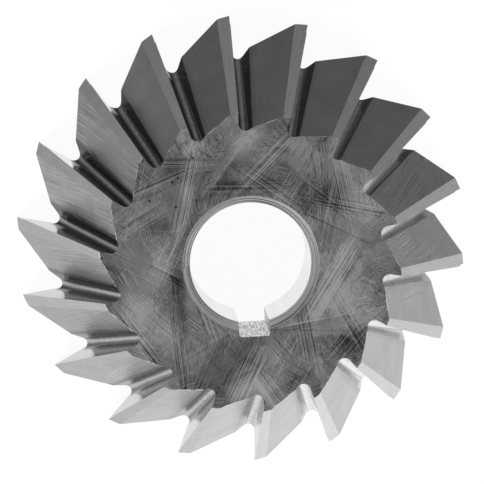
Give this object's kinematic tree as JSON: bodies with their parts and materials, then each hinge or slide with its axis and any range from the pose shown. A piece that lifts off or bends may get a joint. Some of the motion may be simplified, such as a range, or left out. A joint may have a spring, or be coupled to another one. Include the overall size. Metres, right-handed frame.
{
  "type": "single angle milling cutter",
  "caption": "Steel angle milling cutter with sloping teeth on its cone and more on its large face, a bore with a keyway and a recess for the screw.",
  "frame": {"origin": "on the cutter's axis, at the level of the large face's teeth, on which it lies", "axes": "+Z along the axis from the large face to the small face, -Y through the middle of the keyway"},
  "size_m": [0.062, 0.063, 0.02],
  "materials": {
    "tool_steel": "ground"
  },
  "bodies": {
    "root": {"cutter": "tool_steel"}
  },
  "joints": []
}
